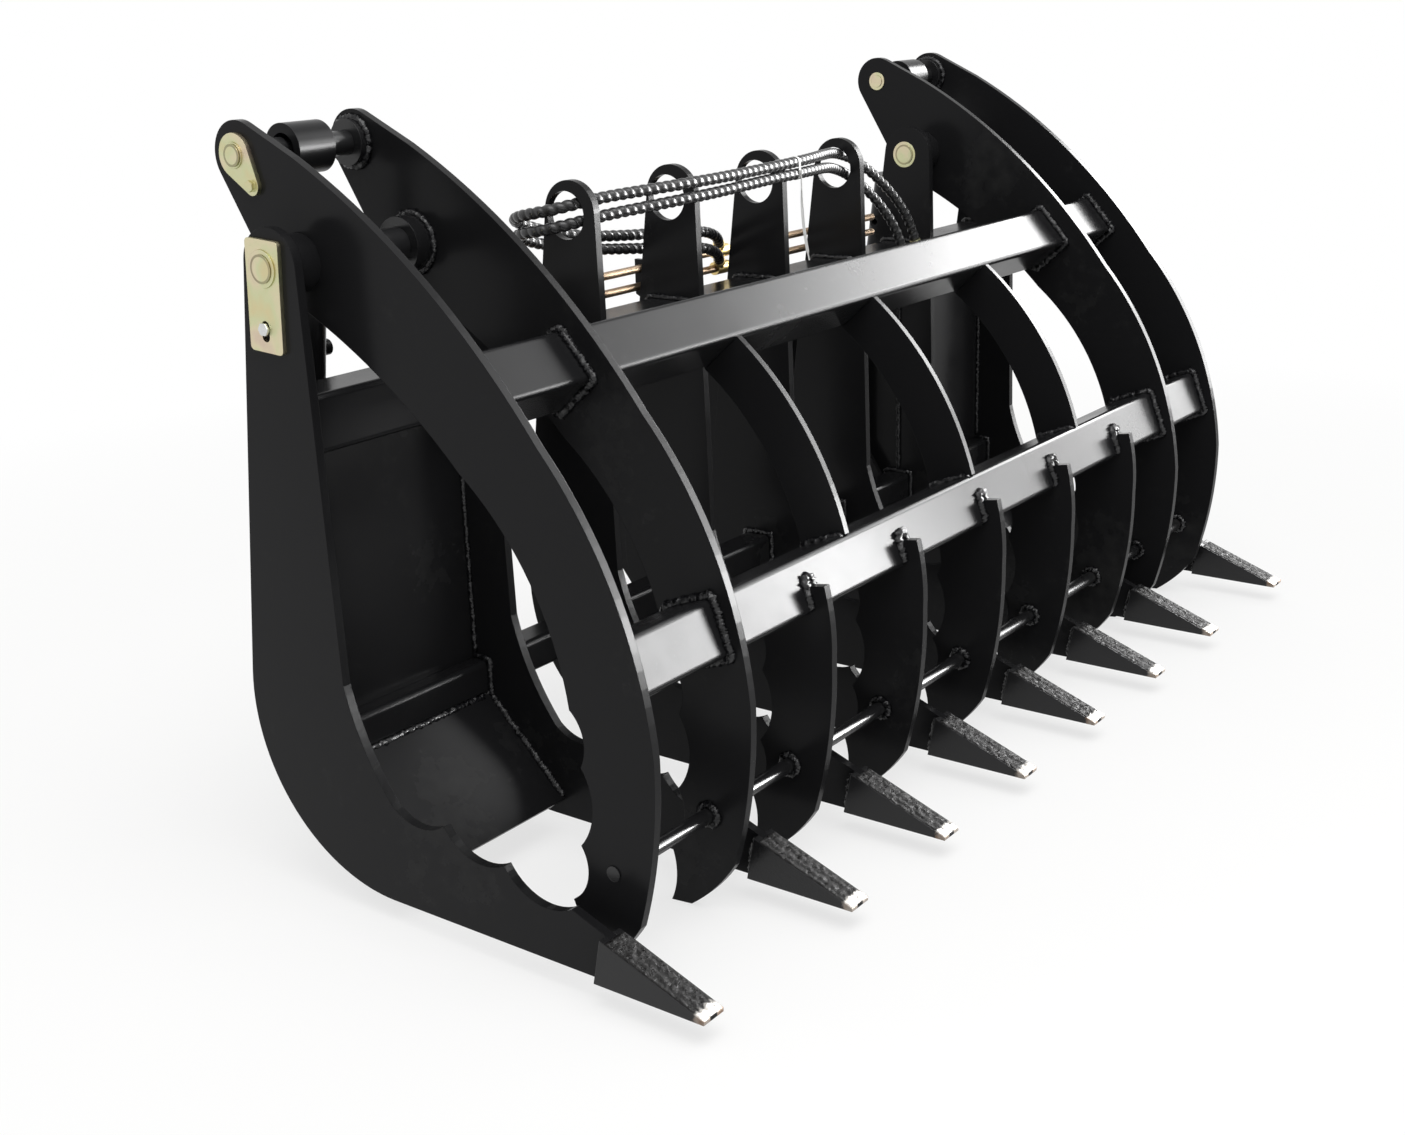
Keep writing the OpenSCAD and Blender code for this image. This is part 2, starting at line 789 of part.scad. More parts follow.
module line_tees() {
    color(brass) placed()
        for (z = line_heights)
            difference() {
                union() {
                    bar_x(tee_x - 18, tee_x + 18, [line_back, z], line_d / 2 + 4.5);
                    translate([tee_x, line_back, z])
                        rotate([0, tee_tilt, tee_swing]) {
                            cylinder(h = tee_l, r = hose_d / 2 - 1);
                            translate([0, 0, tee_l - ferrule_l]) cylinder(h = ferrule_l, r = hose_d / 2 + 2);
                        }
                }
                bar_x(tee_x - 60, tee_x + 60, [line_back, z], line_d / 2 + run_gap);
            }
}

// Supply hoses: out of the tees to the left, round through the eye of tine 1, along the front
// of the next two heads, through the eye of tine 4 and down to their couplers
hose_seat = 0.3;
hose_start_l = 36;
hose_sides = 10;
function hose_from(z) = [for (l = [0, hose_start_l])
    [tee_x, line_back, z] + (tee_l + hose_seat + l) * tee_way];
hose_upper_route = concat(hose_from(line_top), [
    [45, 52, 733], [0, 51, 739], [-50, 57, 743], [-100, 66, 746], [-150, 76, 749],
    [-200, 86, 754], [-245, 96, 761], [-283, 104, 770], [-319, 108, 781], [-355, 103, 793],
    [-383, 80, 803], [-394, 45, 811], [-384, 10, 817], [-354, -13, 824], [-313, -26, 829],
    [-265, -37, 831], [-218, -51, 833], [-170, -64, 835], [-118, -71, 836], [-70, -74, 837],
    [-20, -75, 838], [30, -75, 839], [80, -74, 840], [125, -72, 841], [170, -65, 841],
    [215, -53, 841], [260, -36, 839], [305, -19, 837], [353, -5, 831], [400, -5, 818],
    [438, -14, 795], [474, -26, 765], [503, -37, 733], [525, -45, 699], [536, -50, 664]
]);
hose_lower_route = concat(hose_from(line_low), [
    [45, 50, 706], [0, 48, 713], [-50, 55, 719], [-100, 65, 724], [-150, 75, 729],
    [-200, 84, 734], [-245, 94, 741], [-283, 101, 749], [-319, 105, 759], [-355, 100, 770],
    [-383, 76, 779], [-394, 41, 786], [-384, 6, 792], [-354, -18, 799], [-313, -30, 804],
    [-265, -41, 807], [-218, -54, 810], [-170, -66, 813], [-118, -72, 815], [-70, -75, 817],
    [-20, -76, 819], [30, -76, 821], [80, -76, 822], [125, -74, 822], [170, -68, 822],
    [215, -58, 821], [260, -43, 818], [305, -27, 811], [353, -15, 800], [394, -15, 781],
    [430, -23, 755], [459, -33, 725], [481, -42, 692], [493, -49, 657]
]);

function unit(v) = v / norm(v);

// Direction of a route at its point i
function route_way(route, i) = unit(route[min(i + 1, len(route) - 1)] - route[max(i - 1, 0)]);

// Ring of points round a route's point i, square to its direction
function route_ring(route, i, r) =
    let (
        way = route_way(route, i),
        across = unit(cross(way, [0, 0, 1])),
        over = cross(across, way)
    )
    [for (k = [0 : hose_sides - 1])
        route[i] + r * (cos(360 * k / hose_sides) * across + sin(360 * k / hose_sides) * over)];

// Tube along a route, one ring at each of its points
module swept_tube(route, r) {
    n = hose_sides;
    m = len(route);
    polyhedron(
        points = [for (i = [0 : m - 1]) each route_ring(route, i, r)],
        faces = concat(
            [[for (k = [0 : n - 1]) k]],
            [for (i = [0 : m - 2]) for (k = [0 : n - 1])
                [i * n + k, (i + 1) * n + k, (i + 1) * n + (k + 1) % n]],
            [for (i = [0 : m - 2]) for (k = [0 : n - 1])
                [i * n + k, (i + 1) * n + (k + 1) % n, i * n + (k + 1) % n]],
            [[for (k = [n - 1 : -1 : 0]) (m - 1) * n + k]]
        )
    );
}

module hose(route) {
    color(black) placed() swept_tube(route, hose_d / 2);
}

// Quick coupler in line with the end of a hose: crimped ferrule, nut, body and nose
module hose_coupler(route) {
    way = route_way(route, len(route) - 1);
    color(zinc) placed()
        translate(last(route) + hose_seat * way)
            rotate([0, acos(way[2]), atan2(way[1], way[0])]) {
                cylinder(h = 24, r = hose_d / 2 + 2);
                translate([0, 0, 22]) cylinder(h = 10, r = hose_d / 2 + 4, $fn = 6);
                translate([0, 0, 30]) cylinder(h = 24, r = hose_d / 2 + 3.5);
                translate([0, 0, 52]) cylinder(h = 9, r = hose_d / 2 - 1);
            }
}

end_tine(-1);  // end_tine_left
lug_tine(-1);  // lug_tine_left
inner_tine(1);  // tine_1
inner_tine(2);  // tine_2
inner_tine(3);  // tine_3
inner_tine(4);  // tine_4
lug_tine(1);  // lug_tine_right
end_tine(1);  // end_tine_right
tooth_plates(-1);  // tooth_plates_left
tooth_plates(1);  // tooth_plates_right
top_beam();
lower_tube();
back_plate(-1);  // back_plate_left
back_plate(1);  // back_plate_right
corner_plate(-1);  // corner_plate_left
corner_plate(1);  // corner_plate_right
attach_top_lip();
attach_plate(-1);  // attach_plate_left
attach_plate(1);  // attach_plate_right
attach_flanges();
attach_gussets();
cylinder_lugs(-1);  // cylinder_lugs_left
cylinder_lugs(1);  // cylinder_lugs_right
pivot_pins();
pivot_keepers();
keeper_bolts();
base_pins();
steel_lines();
line_brackets();
line_tees();
hose(hose_upper_route);  // hose_upper
hose(hose_lower_route);  // hose_lower
hose_coupler(hose_upper_route);  // hose_coupler_upper
hose_coupler(hose_lower_route);  // hose_coupler_lower
arm(-outer_arm_x, false);  // arm_outer_left
arm(-inner_arm_x, true);  // arm_inner_left
arm(inner_arm_x, true);  // arm_inner_right
arm(outer_arm_x, false);  // arm_outer_right
clamp_top_bar();
clamp_mid_bar();
clamp_ribs();
finger(1);  // finger_1
finger(2);  // finger_2
finger(3);  // finger_3
finger(4);  // finger_4
finger(5);  // finger_5
tie_bar();
arm_bushes();
rod_pins();
rod_pin_keepers();
barrel(-1);  // barrel_left
barrel(1);  // barrel_right
gland(-1);  // gland_left
gland(1);  // gland_right
rod(-1);  // rod_left
rod(1);  // rod_right
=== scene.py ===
import json
import math
import random

import bpy
from mathutils import Matrix, Vector, noise


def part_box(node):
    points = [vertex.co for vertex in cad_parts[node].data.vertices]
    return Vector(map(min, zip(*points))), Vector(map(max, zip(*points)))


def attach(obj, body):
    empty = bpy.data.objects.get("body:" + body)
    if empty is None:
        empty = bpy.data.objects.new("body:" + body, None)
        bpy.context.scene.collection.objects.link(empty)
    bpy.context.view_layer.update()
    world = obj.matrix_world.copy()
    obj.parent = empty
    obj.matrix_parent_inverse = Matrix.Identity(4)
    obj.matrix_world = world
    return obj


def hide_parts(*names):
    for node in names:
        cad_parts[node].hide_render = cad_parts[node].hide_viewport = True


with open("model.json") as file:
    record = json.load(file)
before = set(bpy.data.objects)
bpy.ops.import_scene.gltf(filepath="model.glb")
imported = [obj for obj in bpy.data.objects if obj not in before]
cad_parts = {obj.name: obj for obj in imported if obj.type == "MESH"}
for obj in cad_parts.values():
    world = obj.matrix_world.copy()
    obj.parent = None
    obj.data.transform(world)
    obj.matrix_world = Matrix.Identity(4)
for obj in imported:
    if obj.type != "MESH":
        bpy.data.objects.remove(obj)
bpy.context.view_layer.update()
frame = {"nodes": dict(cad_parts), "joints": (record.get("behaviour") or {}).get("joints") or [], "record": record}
nodes = frame["nodes"]
print("frame loaded:", len(nodes), "nodes")

# The clamp's pivot line, which places the hoses' routes and the welds round the bushes
hinge = next(j for j in frame["joints"] if j["name"] == "clamp_hinge")
pivot = Vector((0, hinge["pos_m"][1], hinge["pos_m"][2]))
mm = 0.001


def middle(node):
    low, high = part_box(node)
    return (low + high) / 2


def faces(node):  # X of a plate's left and right face
    low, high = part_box(node)
    return low.x, high.x


# Camera
shot = {
    "place": (-2.30695, -1.50293, 1.14630),
    "turn": (71.9485, 1.7685, -53.2763),  # degrees
    "lens": 45.84,
    "sensor": 36.0,
}


def makeCamera():
    bpy.ops.object.camera_add(location=shot["place"], rotation=[math.radians(a) for a in shot["turn"]])
    cam = bpy.context.object
    cam.data.lens = shot["lens"]
    cam.data.sensor_width = shot["sensor"]
    cam.data.sensor_fit = "HORIZONTAL"
    cam.data.clip_end = 200
    bpy.context.scene.camera = cam


makeCamera()
print("camera set")


# Supply hoses: each leaves its tee, runs behind the tines' heads and turns at the left through the first eye. It comes
# back along the front of the next two heads and goes through the last eye, down to its coupler
hose = {
    "diameter": 0.0155,
    "length": {"upper": 1.629, "lower": 1.575},  # metres, tee to coupler
    "ring": 0.0015,  # from ring to ring of the tube
    "sides": 16,
    "guardPitch": 0.0145,  # the spiral guard, turn to turn
    "guardThick": 0.0012,
    "guardDepth": 0.0021,
    "guardFlat": 0.42,  # lower is a broader, flatter turn
}
pivotHigh = 0.809  # of the pivot line over the underside of the tines, where the routes count from
underTines = Vector((0, pivot.y, pivot.z - pivotHigh))
hoseRoute = {
    "upper": [
        (0.1182, 0.0838, 0.7032), (0.0912, 0.0658, 0.7187), (0.045, 0.052, 0.733), (0, 0.051, 0.739),
        (-0.050, 0.057, 0.743), (-0.100, 0.066, 0.746), (-0.150, 0.076, 0.749), (-0.200, 0.086, 0.754),
        (-0.245, 0.096, 0.761), (-0.283, 0.104, 0.770), (-0.319, 0.108, 0.781), (-0.355, 0.103, 0.793),
        (-0.383, 0.080, 0.803), (-0.394, 0.045, 0.811), (-0.384, 0.010, 0.817), (-0.354, -0.013, 0.824),
        (-0.313, -0.026, 0.829), (-0.265, -0.037, 0.831), (-0.218, -0.051, 0.833), (-0.170, -0.064, 0.835),
        (-0.118, -0.071, 0.836), (-0.070, -0.074, 0.837), (-0.020, -0.075, 0.838), (0.030, -0.075, 0.839),
        (0.080, -0.074, 0.840), (0.125, -0.072, 0.841), (0.170, -0.065, 0.841), (0.215, -0.053, 0.841),
        (0.260, -0.036, 0.839), (0.305, -0.019, 0.837), (0.353, -0.005, 0.831), (0.400, -0.005, 0.818),
        (0.438, -0.014, 0.795), (0.474, -0.026, 0.765), (0.503, -0.037, 0.733), (0.525, -0.045, 0.699),
        (0.536, -0.050, 0.664),
    ],
    "lower": [
        (0.1182, 0.0838, 0.6752), (0.0912, 0.0658, 0.6907), (0.045, 0.050, 0.706), (0, 0.048, 0.713),
        (-0.050, 0.055, 0.719), (-0.100, 0.065, 0.724), (-0.150, 0.075, 0.729), (-0.200, 0.084, 0.734),
        (-0.245, 0.094, 0.741), (-0.283, 0.101, 0.749), (-0.319, 0.105, 0.759), (-0.355, 0.100, 0.770),
        (-0.383, 0.076, 0.779), (-0.394, 0.041, 0.786), (-0.384, 0.006, 0.792), (-0.354, -0.018, 0.799),
        (-0.313, -0.030, 0.804), (-0.265, -0.041, 0.807), (-0.218, -0.054, 0.810), (-0.170, -0.066, 0.813),
        (-0.118, -0.072, 0.815), (-0.070, -0.075, 0.817), (-0.020, -0.076, 0.819), (0.030, -0.076, 0.821),
        (0.080, -0.076, 0.822), (0.125, -0.074, 0.822), (0.170, -0.068, 0.822), (0.215, -0.058, 0.821),
        (0.260, -0.043, 0.818), (0.305, -0.027, 0.811), (0.353, -0.015, 0.800), (0.394, -0.015, 0.781),
        (0.430, -0.023, 0.755), (0.459, -0.033, 0.725), (0.481, -0.042, 0.692), (0.493, -0.049, 0.657),
    ],
}


def smoothLine(points, step):  # a cubic B-spline that starts and ends on its end points, in even steps
    points = [Vector(p) for p in points]
    row = [points[0] * 2 - points[1]] + points + [points[-1] * 2 - points[-2]]
    fine = []
    for a, b, c, d in zip(row, row[1:], row[2:], row[3:]):
        for t in (k / 24 for k in range(24)):
            near, far = 3 * t**3 - 6 * t**2 + 4, 1 + 3 * t + 3 * t**2 - 3 * t**3
            fine.append((a * (1 - t) ** 3 + b * near + c * far + d * t**3) / 6)
    fine.append(points[-1])
    lengths = [0.0]
    for a, b in zip(fine, fine[1:]):
        lengths.append(lengths[-1] + (b - a).length)
    count = round(lengths[-1] / step)
    even, at = [], 0
    for i in range(count + 1):
        want = lengths[-1] * i / count
        while at < len(fine) - 2 and lengths[at + 1] < want:
            at += 1
        even.append(fine[at].lerp(fine[at + 1], (want - lengths[at]) / (lengths[at + 1] - lengths[at])))
    return even


def guardedTube(name, line):
    sides, n = hose["sides"], len(line)
    spots, guard = [], []
    side = (line[1] - line[0]).orthogonal().normalized()
    for i, place in enumerate(line):
        ahead = (line[min(i + 1, n - 1)] - line[max(i - 1, 0)]).normalized()
        side = (side - ahead * side.dot(ahead)).normalized()
        up = ahead.cross(side)
        for k in range(sides):
            angle = 2 * math.pi * k / sides
            wave = 0.5 + 0.5 * math.cos(2 * math.pi * i * hose["ring"] / hose["guardPitch"] - angle)
            high = wave ** hose["guardFlat"]
            radius = hose["diameter"] / 2 + hose["guardThick"] - hose["guardDepth"] * (1 - high)
            spots.append(place + (side * math.cos(angle) + up * math.sin(angle)) * radius)
            guard.append(high)
    skin = [tuple(reversed(range(sides))), tuple(range((n - 1) * sides, n * sides))]
    for i in range(n - 1):
        for k in range(sides):
            a, b = i * sides + k, i * sides + (k + 1) % sides
            skin.append((a, b, b + sides, a + sides))
    mesh = bpy.data.meshes.new(name)
    mesh.from_pydata(spots, [], skin)
    mesh.attributes.new("guard", "FLOAT", "POINT").data.foreach_set("value", guard)
    mesh.shade_smooth()
    piece = bpy.data.objects.new(name, mesh)
    bpy.context.scene.collection.objects.link(piece)
    return piece


hoseLines, hosePieces = {}, {}
for which, route in hoseRoute.items():
    hoseLines[which] = smoothLine([Vector(p) + underTines for p in route], hose["ring"])
    piece = guardedTube(f"{which}Hose", hoseLines[which])
    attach(piece, "root")
    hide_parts(f"hose_{which}")
    hosePieces[which] = piece
print("hoses laid")


# Shader maths on sockets, and one method for every other node
class Wire:
    def __init__(self, tree, socket):
        self.tree = tree
        self.socket = socket

    def maths(self, operation, first, second):
        node = self.tree.nodes.new("ShaderNodeMath")
        node.operation = operation
        for slot, value in zip(node.inputs, (first, second)):
            if isinstance(value, Wire):
                self.tree.links.new(value.socket, slot)
            else:
                slot.default_value = value
        return Wire(self.tree, node.outputs[0])

    def __add__(self, other):
        return self.maths("ADD", self, other)

    def __radd__(self, other):
        return self.maths("ADD", other, self)

    def __sub__(self, other):
        return self.maths("SUBTRACT", self, other)

    def __rsub__(self, other):
        return self.maths("SUBTRACT", other, self)

    def __mul__(self, other):
        return self.maths("MULTIPLY", self, other)

    def __rmul__(self, other):
        return self.maths("MULTIPLY", other, self)

    def __pow__(self, other):
        return self.maths("POWER", self, other)

    def size(self):
        return self.maths("ABSOLUTE", self, 0.0)

    def clamp(self):
        return self.maths("MINIMUM", self.maths("MAXIMUM", self, 0.0), 1.0)


class Finish:
    def __init__(self, name, **plain):
        self.material = bpy.data.materials.new(name)
        self.material.use_nodes = True
        self.tree = self.material.node_tree
        self.shader = self.tree.nodes["Principled BSDF"]
        for socket, value in plain.items():
            self.set(socket.replace("_", " "), value)
        self.where = self.node("ShaderNodeTexCoord", out="Object")

    def set(self, socket, value):
        slot = self.shader.inputs[socket]
        if isinstance(value, Wire):
            self.tree.links.new(value.socket, slot)
        elif isinstance(value, (tuple, list)) and len(value) == 3:
            slot.default_value = (*value, 1)
        else:
            slot.default_value = value

    def node(self, kind, out=0, settings=None, **values):
        node = self.tree.nodes.new(kind)
        for key, value in (settings or {}).items():
            if key == "stops":
                ramp = node.color_ramp
                while len(ramp.elements) < len(value):
                    ramp.elements.new(0.5)
                for element, (at, colour) in zip(ramp.elements, value):
                    element.position = at
                    element.color = (*colour, 1) if isinstance(colour, tuple) else (colour, colour, colour, 1)
            else:
                setattr(node, key, value)
        for key, value in values.items():
            slot = node.inputs[int(key[1:])] if key[1:].isdigit() else node.inputs[key.replace("_", " ")]
            if isinstance(value, Wire):
                self.tree.links.new(value.socket, slot)
            elif isinstance(value, tuple) and len(value) == 3 and slot.type == "RGBA":
                slot.default_value = (*value, 1)
            else:
                slot.default_value = value
        return Wire(self.tree, node.outputs[out])

    def noise(self, scale, detail=3.0, rough=0.5, stretch=(1, 1, 1), offset=(0, 0, 0)):
        spot = self.node("ShaderNodeMapping", Vector=self.where, Scale=stretch, Location=offset)
        return self.node("ShaderNodeTexNoise", Vector=spot, Scale=scale, Detail=detail, Roughness=rough)

    def ramp(self, value, low, high):  # 0 under low, 1 over high
        return self.node("ShaderNodeMapRange", Value=value, From_Min=low, From_Max=high)

    def mix(self, share, first, second):
        settings = {"data_type": "RGBA"}
        return self.node("ShaderNodeMix", 2, settings, i0=share, i6=first, i7=second)

    def along(self, axis):  # the place's "x", "y" or "z"
        return self.node("ShaderNodeSeparateXYZ", "xyz".index(axis), Vector=self.where)

    def awayFrom(self, centre):  # distance from a line along X
        return ((self.along("y") - centre.y) ** 2 + (self.along("z") - centre.z) ** 2) ** 0.5

    def bump(self, height, depth, strength=1.0, under=None):
        values = {"Height": height, "Distance": depth, "Strength": strength}
        if under is not None:
            values["Normal"] = under
        return self.node("ShaderNodeBump", **values)


enamel = {
    "colour": (0.0105, 0.0105, 0.0112),
    "specular": 0.085,
    "rough": 0.17,
    "edgeRound": 0.0011,
    "ripple": 0.00012,
    "dust": (0.16, 0.16, 0.15),
}


def makeEnamel(name="blackEnamel", specular=enamel["specular"]):
    f = Finish(name, Specular_IOR_Level=specular)
    patches = f.noise(3.1, 4, 0.6)
    fine = f.noise(46, 4, 0.6)
    dust = f.ramp(patches * 0.7 + fine * 0.3, 0.56, 0.78) * 0.10
    f.set("Base Color", f.mix(dust, enamel["colour"], enamel["dust"]))
    f.set("Roughness", enamel["rough"] + 0.12 * f.ramp(patches, 0.35, 0.75) + 0.05 * fine)
    soft = f.node("ShaderNodeBevel", settings={"samples": 4}, Radius=enamel["edgeRound"])
    rolling = f.noise(34, 2, 0.4, stretch=(0.05, 1, 1))
    peel = f.noise(420, 2, 0.5)
    wavy = f.bump(rolling, enamel["ripple"], 0.8, soft)
    f.set("Normal", f.bump(peel, 0.00001, 0.5, wavy))
    return f.material


def makeWeldPaint():
    f = Finish("weldPaint", Specular_IOR_Level=0.45, Base_Color=(0.007, 0.007, 0.008))
    grain = f.noise(320, 3, 0.6)
    lumps = f.noise(130, 2, 0.5)
    f.set("Roughness", 0.12 + 0.16 * grain)
    f.set("Normal", f.bump(grain, 0.0006, 0.7, f.bump(lumps, 0.0022, 0.9)))
    return f.material


def makeToothPaint():
    f = Finish("toothPaint", Specular_IOR_Level=0.3)
    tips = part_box("tooth_plates_left")[0].y
    near = 1 - f.ramp(f.along("y"), tips + 0.004, tips + 0.030)
    scratch = f.noise(120, 4, 0.7)
    worn = f.ramp(near * 0.75 + scratch * 0.45, 0.62, 0.78)
    steel = f.mix(f.ramp(f.noise(60, 3, 0.6), 0.4, 0.7), (0.30, 0.27, 0.24), (0.17, 0.10, 0.06))
    f.set("Base Color", f.mix(worn, enamel["colour"], steel))
    f.set("Metallic", worn * 0.7)
    f.set("Roughness", 0.2 + 0.25 * worn + 0.1 * scratch)
    soft = f.node("ShaderNodeBevel", settings={"samples": 4}, Radius=0.0016)
    f.set("Normal", f.bump(scratch, 0.0003, 0.6, soft))
    return f.material


zincTints = [
    (0.30, (0.62, 0.55, 0.32)), (0.45, (0.58, 0.59, 0.36)), (0.56, (0.66, 0.59, 0.40)), (0.70, (0.62, 0.51, 0.39)),
]


def makeZinc(name="yellowZinc", groove=None):  # groove is its pin's centre and the inner and outer radius of the painted shade in its groove
    f = Finish(name, Metallic=1.0)
    cloud = f.noise(22, 3, 0.5)
    tint = f.node("ShaderNodeValToRGB", settings={"stops": zincTints}, Fac=cloud)
    if groove:
        centre, inner, outer = groove
        away = f.awayFrom(centre)
        # Painted shade: the zinc is darkened in the groove's recess, by an amount that varies with the cloud
        grooveShade = f.ramp(away, inner, inner + 0.0006) * (1 - f.ramp(away, outer - 0.0006, outer))
        tint = f.mix(grooveShade * (0.35 + 0.5 * cloud), tint, (0.15, 0.12, 0.07))
    f.set("Base Color", tint)
    scuff = f.noise(150, 4, 0.6)
    f.set("Roughness", 0.30 + 0.16 * scuff)
    soft = f.node("ShaderNodeBevel", settings={"samples": 4}, Radius=0.0009)
    f.set("Normal", f.bump(scuff, 0.00012, 0.5, soft))
    return f.material


def makeMetal(name, colour, rough, grain=180.0):
    f = Finish(name, Metallic=1.0)
    cloud = f.noise(40, 3, 0.6)
    f.set("Base Color", f.mix(cloud, tuple(c * 0.75 for c in colour), tuple(min(1, c * 1.2) for c in colour)))
    f.set("Roughness", rough + 0.15 * f.noise(grain, 3, 0.6))
    soft = f.node("ShaderNodeBevel", settings={"samples": 4}, Radius=0.0006)
    f.set("Normal", f.bump(f.noise(grain, 3, 0.6), 0.0001, 0.4, soft))
    return f.material


def makeGuard():
    f = Finish("spiralGuard", Specular_IOR_Level=0.6)
    high = f.node("ShaderNodeAttribute", 2, {"attribute_name": "guard"})
    crest = f.ramp(high, 0.25, 0.7)
    scuff = f.noise(90, 4, 0.6)
    # Painted shade: the grooves between the guard's turns are darker than its crests
    f.set("Base Color", f.mix(crest, (0.003, 0.003, 0.003), (0.014, 0.014, 0.015)))
    f.set("Roughness", 0.62 - 0.40 * crest + 0.12 * scuff)
    f.set("Normal", f.bump(scuff, 0.0001, 0.4))
    return f.material


tiePitch = 0.0012  # from tooth to tooth


def makeTiePlastic():
    f = Finish("tiePlastic", Specular_IOR_Level=0.5)
    cloud = f.noise(60, 3, 0.5)
    f.set("Base Color", f.mix(cloud, (0.72, 0.72, 0.70), (0.86, 0.86, 0.85)))
    f.set("Roughness", 0.35 + 0.1 * cloud)
    down = (f.along("y") + f.along("z")) * (2 * math.pi / tiePitch)
    teeth = f.node("ShaderNodeMath", settings={"operation": "SINE"}, i0=down)
    f.set("Normal", f.bump(teeth, 0.0001, 0.5))
    return f.material


def paintedBetween(name, low, high):  # zinc at a pin's ends, painted where |X| lies between the plates
    f = Finish(name)
    out = f.along("x").size()
    painted = f.ramp(out, low, low + 0.0004) * (1 - f.ramp(out, high - 0.0004, high))
    cloud = f.noise(22, 3, 0.5)
    tint = f.node("ShaderNodeValToRGB", settings={"stops": zincTints}, Fac=cloud)
    scuff = f.noise(150, 4, 0.6)
    f.set("Base Color", f.mix(painted, tint, enamel["colour"]))
    f.set("Metallic", 1 - painted)
    f.set("Roughness", 0.30 + 0.16 * scuff - 0.06 * painted)
    soft = f.node("ShaderNodeBevel", settings={"samples": 4}, Radius=0.0009)
    f.set("Normal", f.bump(scuff, 0.00012, 0.5, soft))
    return f.material


def makeRod():  # hard chrome, with its welded eye painted
    f = Finish("rodFinish", Specular_IOR_Level=0.12)
    painted = 1 - f.ramp(f.awayFrom(middle("rod_pins")), 0.0340, 0.0355)
    scuff = f.noise(180, 3, 0.6)
    f.set("Base Color", f.mix(painted, (0.80, 0.81, 0.82), enamel["colour"]))
    f.set("Metallic", 1 - painted)
    f.set("Roughness", 0.06 + 0.05 * scuff + 0.20 * painted)
    soft = f.node("ShaderNodeBevel", settings={"samples": 4}, Radius=0.0008)
    f.set("Normal", f.bump(scuff, 0.00002, 0.3, soft))
    return f.material


materials = {
    "black_paint": makeEnamel(),
    "tooth_paint": makeToothPaint(),
    "yellow_zinc": makeZinc(),
    "line_steel": makeMetal("lineSteel", (0.30, 0.22, 0.15), 0.38),
    "brass": makeMetal("brassFitting", (0.78, 0.60, 0.26), 0.25),
    "chrome": makeRod(),
    "hose": makeGuard(),
}
materials["cylinder_paint"] = materials["black_paint"]
brightZinc = makeMetal("brightZinc", (0.66, 0.67, 0.66), 0.20)
weldPaint = makeWeldPaint()
glossier = {"tie_bar": ("handledEnamel", 0.45), "arm_bushes": ("turnedEnamel", 0.40)}  # with their specular level
paintedPart = {"pivot_pins": (0.5943, 0.8942), "rod_pins": (0.6604, 0.8401), "base_pins": (0.7100, 0.7900)}  # |X|


def dressNodes():
    slotOf = {part["node"]: part["material_slot"] for part in frame["record"]["subparts"]}
    for name, node in nodes.items():
        node.data.materials.clear()
        node.data.materials.append(materials[slotOf[name]])


dressNodes()
for pins, (low, high) in paintedPart.items():
    nodes[pins].data.materials[0] = paintedBetween(f"{pins}Finish".replace("_", ""), low, high)
for name, (finishName, specular) in glossier.items():
    nodes[name].data.materials[0] = makeEnamel(finishName, specular)
for piece in hosePieces.values():
    piece.data.materials.append(materials["hose"])
print("materials made")


# Cable tie round both hoses, with its tail left long
tie = {
    "x": 0.118,  # where it grips the hoses
    "width": 0.0048,
    "thick": 0.0013,
    "grip": 0.0086,  # radius round one hose
    "head": (0.0064, 0.0056, 0.0050),
    "headGap": 0.0015,  # off the lower hose
    "headUp": 0.003,
    "tailThick": 0.001105,
    "tipWide": 0.45,  # the tail's tip, as a share of the width
    "twist": (14, 80),  # degrees, the tail's face at the head and once it hangs
    "tail": [(0.118, -0.083, 0.822), (0.119, -0.083, 0.790), (0.120, -0.083, 0.752), (0.121, -0.088, 0.712),
             (0.122, -0.094, 0.681)],
}


def frontRun(which):  # where the hose crosses the tie, and its direction there
    line = hoseLines[which]
    i = min(range(len(line) // 2, len(line) - 1), key=lambda k: abs(line[k].x - tie["x"]))
    return line[i], (line[i + 1] - line[i - 1]).normalized()


def selectOnly(piece):
    bpy.ops.object.select_all(action="DESELECT")
    piece.select_set(True)
    bpy.context.view_layer.objects.active = piece


def applyAll(piece):
    selectOnly(piece)
    for modifier in list(piece.modifiers):
        bpy.ops.object.modifier_apply(modifier=modifier.name)
    bpy.ops.object.transform_apply(location=True, rotation=True, scale=True)


def joined(name, pieces):
    bpy.ops.object.select_all(action="DESELECT")
    for piece in pieces:
        piece.select_set(True)
    bpy.context.view_layer.objects.active = pieces[0]
    bpy.ops.object.join()
    bpy.context.object.name = name
    return bpy.context.object


def finishPiece(piece, material, body):
    piece.data.materials.clear()
    piece.data.materials.append(material)
    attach(piece, body)
    return piece


